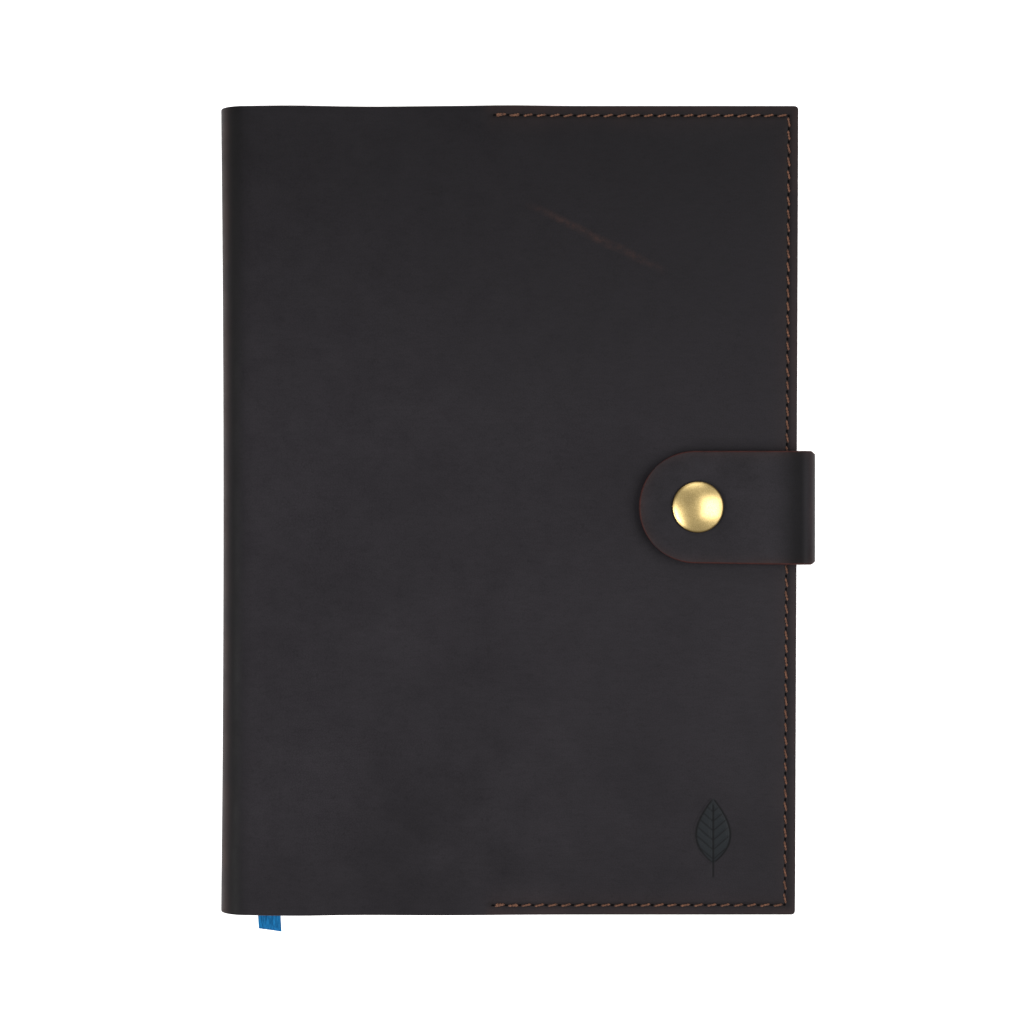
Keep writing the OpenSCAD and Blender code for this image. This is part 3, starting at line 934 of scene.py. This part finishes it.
def strap_loop():
    """The strap from the back seam round the fore edge, up to its crease."""
    bend_x = LOOP_HIGH.x - STRAP_R
    low = bend_x - LOOP_LOW.x
    arc = STRAP_R * math.pi / 2
    rise = STRAP_TOP - LOOP_LOW.z - 2 * STRAP_R
    last = bend_x - CREASE_X
    total = low + arc + rise + arc + last
    us = steps([
        (0, low, 0.6 * MM),
        (low, low + arc, 0.4 * MM),
        (low + arc, low + arc + rise, 1.2 * MM),
        (low + arc + rise, low + 2 * arc + rise, 0.4 * MM),
        (low + 2 * arc + rise, total, 0.25 * MM),
    ])
    vs = steps([
        (-STRAP_HALF, 0.6 * MM - STRAP_HALF, 0.6 * MM),
        (0.6 * MM - STRAP_HALF, STRAP_HALF - 0.6 * MM, 1.5 * MM),
        (STRAP_HALF - 0.6 * MM, STRAP_HALF, 0.6 * MM),
    ])

    def place(s, v, depth):
        first = np.clip((s - low) / STRAP_R, 0, math.pi / 2)
        second = np.clip((s - low - arc - rise) / STRAP_R, 0, math.pi / 2)
        turn = first + second
        nx, nz = np.sin(turn), -np.cos(turn)
        up = np.clip(s - low - arc, 0, rise)
        x = LOOP_LOW.x + np.minimum(s, low) - np.maximum(s - low - 2 * arc - rise, 0)
        z = LOOP_LOW.z + STRAP_R + up
        sewn_in = FORE_X - LOOP_LOW.x
        thin = 1 - 0.44 * (1 - smooth(sewn_in - 0.5 * MM, sewn_in + 1.2 * MM, s))
        reach = STRAP_R - depth * thin + hump(total - s)
        x = x + reach * nx
        drawn = 1 - 0.045 * smooth(LOOP_HIGH.x - 1.6 * MM, LOOP_HIGH.x + 0.1 * MM, x)
        return np.column_stack([x, STRAP_Y + flare(x, v) * drawn, z + reach * nz])

    obj = sheet(
        "strap_loop_leather", us, vs, place, STRAP_T, STRAP_EDGE_R, STRAP_LEATHERS, STRAP_SIDES, True
    )
    co = coordinates(obj)
    side = STRAP_HALF - np.abs(co[:, 1] - STRAP_Y)
    # Painted highlight on the shoulder of the bend past the crease; the strap's edges get real rubbing.
    shoulder = np.exp(-(((co[:, 0] - CREASE_X - 3.6 * MM) / (1.2 * MM)) ** 2))
    mark(obj, "wear_and_highlight", 0.5 * np.exp(-side / (1.0 * MM)) + 0.4 * shoulder)
    mark(obj, "shade", crease_shade(co[:, 0]) * (co[:, 2] > TOP))
    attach(obj, "back")
    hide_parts("strap_loop")


def strap_tongue():
    """The strap's round end, from the crease over the front."""
    tip_x = TONGUE_LOW.x + STRAP_HALF
    us = steps([
        (0, 0.6 * MM, 0.6 * MM),
        (0.6 * MM, STRAP_HALF, 0.8 * MM),
        (STRAP_HALF, CREASE_X - TONGUE_LOW.x, 1.2 * MM),
    ])
    vs = steps([
        (-STRAP_HALF, 0.6 * MM - STRAP_HALF, 0.6 * MM),
        (0.6 * MM - STRAP_HALF, STRAP_HALF - 0.6 * MM, 0.9 * MM),
        (STRAP_HALF - 0.6 * MM, STRAP_HALF, 0.6 * MM),
    ])

    def place(u, v, depth):
        a = np.clip(1 - u / STRAP_HALF, 0, 1)
        b = v / STRAP_HALF
        x = np.where(a > 0, tip_x - STRAP_HALF * a * np.sqrt(1 - b * b / 2), TONGUE_LOW.x + u)
        y = STRAP_HALF * b * np.sqrt(1 - a * a / 2)
        from_snap = np.hypot(x - SNAP[0], STRAP_Y + y - SNAP[1])
        press = -0.22 * MM * np.exp(-((from_snap / (8.5 * MM)) ** 2))
        soft = 0.05 * MM * waves(x, y, 24 * MM, 11) * smooth(0, 8 * MM, CREASE_X - x)
        z = STRAP_TOP - depth + (press + soft) * np.clip(1 - depth / STRAP_T, 0, 1)
        z = z + hump(x - CREASE_X)
        return np.column_stack([x, STRAP_Y + flare(x, y), z])

    obj = sheet(
        "strap_tongue_leather", us, vs, place, STRAP_T, STRAP_EDGE_R, STRAP_LEATHERS, STRAP_SIDES, True
    )
    co = coordinates(obj)
    x, y = co[:, 0], co[:, 1] - STRAP_Y
    side = np.where(x > tip_x, STRAP_HALF - np.abs(y), STRAP_HALF - np.hypot(x - tip_x, y))
    mark(obj, "wear_and_highlight", 0.5 * np.exp(-np.maximum(side, 0) / (1.0 * MM)))
    mark(obj, "shade", crease_shade(x))
    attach(obj, "strap")
    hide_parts("strap_tongue")


strap_loop()
strap_tongue()


# ---------------------------------------------------------------- snap


def snap_cap():
    """Domed cap with a rolled rim, and the post below it."""
    cap_r = (SNAP_HIGH.x - SNAP_LOW.x) / 2
    base = STRAP_TOP
    top = SNAP_HIGH.z
    roll = 0.45 * MM
    dome_r = cap_r - roll
    rise = top - base - 2 * roll
    ball = (dome_r**2 + rise**2) / (2 * rise)
    post_r = 1.5 * MM
    profile = [(0, top)]
    for i in range(1, 25):
        r = dome_r * i / 24
        profile.append((r, top - (ball - math.sqrt(ball**2 - r**2))))
    lean = math.asin(dome_r / ball)
    for i in range(1, 13):
        turn = math.pi / 2 - lean - i * (math.pi - lean) / 12
        profile.append((cap_r - roll + roll * math.cos(turn), base + roll + roll * math.sin(turn)))
    profile += [(post_r, base + 0.1 * MM), (post_r, SNAP_LOW.z), (0, SNAP_LOW.z)]
    obj = lathe("snap_cap_dome", profile, SNAP, [BRASS], 128)
    co = coordinates(obj)
    out = np.hypot(co[:, 0] - SNAP[0], co[:, 1] - SNAP[1])
    # Painted dark reflection and shadow round the cap's rim.
    mark(obj, "painted_rim_shade", 0.85 * smooth(cap_r - 0.75 * MM, cap_r - 0.05 * MM, out))
    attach(obj, "strap")
    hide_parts("snap_cap")


snap_cap()


# ---------------------------------------------------------------- notebook


def page_stack(name, node, seed, top_material):
    """Half of the pages as a stack of thin leaves that don't quite line up, in one closed mesh."""
    low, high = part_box(node)
    leaves = 24
    slip = 0.12 * MM
    rng = np.random.default_rng(seed)
    heights = np.linspace(low.z, high.z, leaves + 1)
    rings = []
    for k in range(leaves):
        back, fore, tail, head = (0, 0, 0, 0) if k in (0, leaves - 1) else rng.uniform(0, slip, 4)
        outline = [
            (low.x + back * 0.3, low.y + tail),
            (high.x - fore, low.y + tail),
            (high.x - fore, high.y - head),
            (low.x + back * 0.3, high.y - head),
        ]
        for z in (heights[k], heights[k + 1]):
            rings.append([(x, y, z) for x, y in outline])
    vertices = [p for ring in rings for p in ring]
    faces = [(3, 2, 1, 0)]
    slots = [0]
    for k in range(len(rings) - 1):
        for i in range(4):
            j = (i + 1) % 4
            faces.append((4 * k + i, 4 * k + j, 4 * k + 4 + j, 4 * k + 4 + i))
            slots.append(0)
    last = 4 * (len(rings) - 1)
    faces.append((last, last + 1, last + 2, last + 3))
    slots.append(1)
    obj = new_object(name, vertices, faces, [PAPER, top_material], slots)
    obj.data.polygons.foreach_set("use_smooth", [False] * len(obj.data.polygons))
    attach(obj, "back")
    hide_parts(node)


page_stack("front_leaves", "pages_front_half", 21, RULED)
page_stack("back_leaves", "pages_back_half", 22, RULED)


def marker():
    """The ribbon: flat between the pages, a little curled where it hangs out past the tail."""
    low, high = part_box("marker_ribbon")
    lean = math.radians(1.0)
    width = 6.3 * MM
    thickness = high.z - low.z
    length = high.y - low.y
    spare = 1.0 * MM
    mid_x = (low.x + high.x) / 2 + math.tan(lean) * length / 2
    us = steps([(-width / 2, width / 2, 0.3 * MM)])
    vs = steps([(0, 14 * MM, 0.4 * MM), (14 * MM, length - spare, 4 * MM)])

    def place(u, v, depth):
        cut = spare * (0.5 - u / width) * np.clip(1 - v / (20 * MM), 0, 1)
        out = np.clip(1 - v / (9 * MM), 0, 1)
        kick = 0.3 * MM * out
        curl = -0.5 * MM * out**2 + 0.12 * MM * np.sin(v / MM * 0.9) * out
        cup = 0.15 * MM * (2 * u / width) ** 2 * out
        x = mid_x + u * math.cos(lean) - v * math.sin(lean) + kick
        y = low.y + v + cut + u * math.sin(lean)
        edge = np.abs(u) > width / 2 - 0.5 * MM
        fat = np.where(edge, 1.0, 0.8)
        z = (low.z + high.z) / 2 + (thickness / 2 - depth) * fat + curl + cup
        return np.column_stack([x, y, z])

    obj = sheet("marker_ribbon_satin", us, vs, place, thickness, 0.08 * MM, [RIBBON, RIBBON, RIBBON])
    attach(obj, "back")
    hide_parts("marker_ribbon")


marker()


def end_band(name, node, end):
    """Half-round band sewn over the end of the pages: thread wrapped round a cord in two colours."""
    low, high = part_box(node)
    page_end = low.y if end > 0 else high.y
    radius = high.y - low.y
    middle = (low.x + high.x) / 2
    around = 12
    wraps = 16
    per_wrap = 8
    levels = per_wrap * wraps
    vertices, faces, slots = [], [], []
    for i in range(levels + 1):
        z = low.z + (high.z - low.z) * i / levels
        r = radius * (0.86 + 0.12 * abs(math.sin(math.pi * wraps * i / levels)))
        for k in range(around + 1):
            turn = math.pi * k / around
            vertices.append((middle + r * math.cos(turn), page_end + end * r * math.sin(turn), z))
    row = around + 1
    for i in range(levels):
        stripe = (i // per_wrap) % 2
        for k in range(around):
            a = i * row + k
            faces.append((a, a + 1, a + 1 + row, a + row))
            slots.append(stripe)
        faces.append((i * row, i * row + row, i * row + 2 * row - 1, i * row + row - 1))
        slots.append(stripe)
    faces.append(tuple(range(row)))
    faces.append(tuple(range(levels * row, levels * row + row)))
    slots += [0, 1]
    obj = new_object(name, vertices, faces, [BAND, BAND_PALE], slots)
    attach(obj, "back")
    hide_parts(node)


end_band("head_band_wrapped", "head_band", 1)
end_band("tail_band_wrapped", "tail_band", -1)


def lining():
    """Cotton cloth glued over the folded backs of the pages, so it takes their shallow ribs."""
    low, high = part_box("spine_lining")
    thickness = high.x - low.x
    us = steps([(low.z, high.z, 0.3 * MM)])
    vs = steps([(low.y, high.y, 2 * MM)])

    def place(z, y, depth):
        ribs = 0.12 * MM * (1 - np.abs(np.sin(math.pi * (z - low.z) / (1.5 * MM))))
        sway = 0.04 * MM * waves(z, y, 9 * MM, 31)
        out = (ribs + sway + 0.04 * MM) * np.clip(1 - depth / thickness, 0, 1)
        return np.column_stack([low.x + depth + out, y, z])

    obj = sheet("spine_lining_cloth", us, vs, place, thickness, 0.05 * MM, [CLOTH, CLOTH, CLOTH])
    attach(obj, "back")
    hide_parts("spine_lining")


lining()


def finish_node(node, material, bevel=0.0):
    """A CAD piece that is shown as it is, with its own material and softened edges."""
    obj = frame["nodes"][node]
    obj.data.materials.clear()
    obj.data.materials.append(material)
    if bevel:
        soft = obj.modifiers.new("soft_edges", "BEVEL")
        soft.width = bevel
        soft.segments = 2
        soft.limit_method = "ANGLE"


for node in ("notebook_front_card", "notebook_spine_card", "notebook_back_card"):
    finish_node(node, CARD, 0.15 * MM)
for node in ("snap_socket", "snap_stud", "snap_eyelet"):
    finish_node(node, BRASS_CAD, 0.08 * MM)
finish_node("snap_spring", STEEL)


# ---------------------------------------------------------------- floor, light and camera

CAMERA_UP = 0.68          # from the camera to the front's face
FIELD = 0.2796            # width of the view at that face
CAMERA_SHIFT = (0.98 * MM, -0.46 * MM)


def studio():
    """A pale floor that glows a little, an even sky, three soft boxes and the camera above."""
    scene = bpy.context.scene
    scene.view_settings.view_transform = "Standard"

    mesh = bpy.data.meshes.new("floor")
    reach = 12.0
    corners = [(-reach, -reach, 0), (reach, -reach, 0), (reach, reach, 0), (-reach, reach, 0)]
    mesh.from_pydata(corners, [], [(0, 1, 2, 3)])
    floor = bpy.data.objects.new("floor", mesh)
    floor.location.z = -0.3 * MM
    scene.collection.objects.link(floor)
    s = Shader("floor_pale", (0.86, 0.86, 0.86), 0.8, False, Specular_IOR_Level=0.1)
    s.color(s.mix(s.noise(3, 2), (0.855, 0.855, 0.85), (0.87, 0.87, 0.87)))
    s.bsdf.inputs["Emission Color"].default_value = (1, 1, 1, 1)
    s.bsdf.inputs["Emission Strength"].default_value = 0.5
    mesh.materials.append(s.material)

    world = bpy.data.worlds.new("studio")
    world.use_nodes = True
    world.node_tree.nodes["Background"].inputs["Color"].default_value = (1, 1, 1, 1)
    world.node_tree.nodes["Background"].inputs["Strength"].default_value = 0.5
    scene.world = world

    def softbox(name, place, size, watts):
        data = bpy.data.lights.new(name, "AREA")
        data.shape = "RECTANGLE"
        data.size, data.size_y = size
        data.energy = watts
        light = bpy.data.objects.new(name, data)
        light.location = place
        scene.collection.objects.link(light)
        aim = -light.location.normalized()
        light.rotation_mode = "QUATERNION"
        light.rotation_quaternion = aim.to_track_quat("-Z", "Y")

    softbox("right_box", (0.74, -0.04, 1.14), (0.98, 0.95), 14.5)
    softbox("left_box", (-1.05, -0.5, 0.98), (1.15, 0.2), 21)
    softbox("head_box", (-0.1, 1.2, 0.95), (1.1, 0.3), 4.2)

    data = bpy.data.cameras.new("camera")
    data.sensor_width = 36
    data.lens = data.sensor_width * CAMERA_UP / FIELD
    data.clip_start, data.clip_end = 0.01, 20
    camera = bpy.data.objects.new("camera", data)
    camera.location = (CAMERA_SHIFT[0], CAMERA_SHIFT[1], TOP + CAMERA_UP)
    scene.collection.objects.link(camera)
    scene.camera = camera


studio()
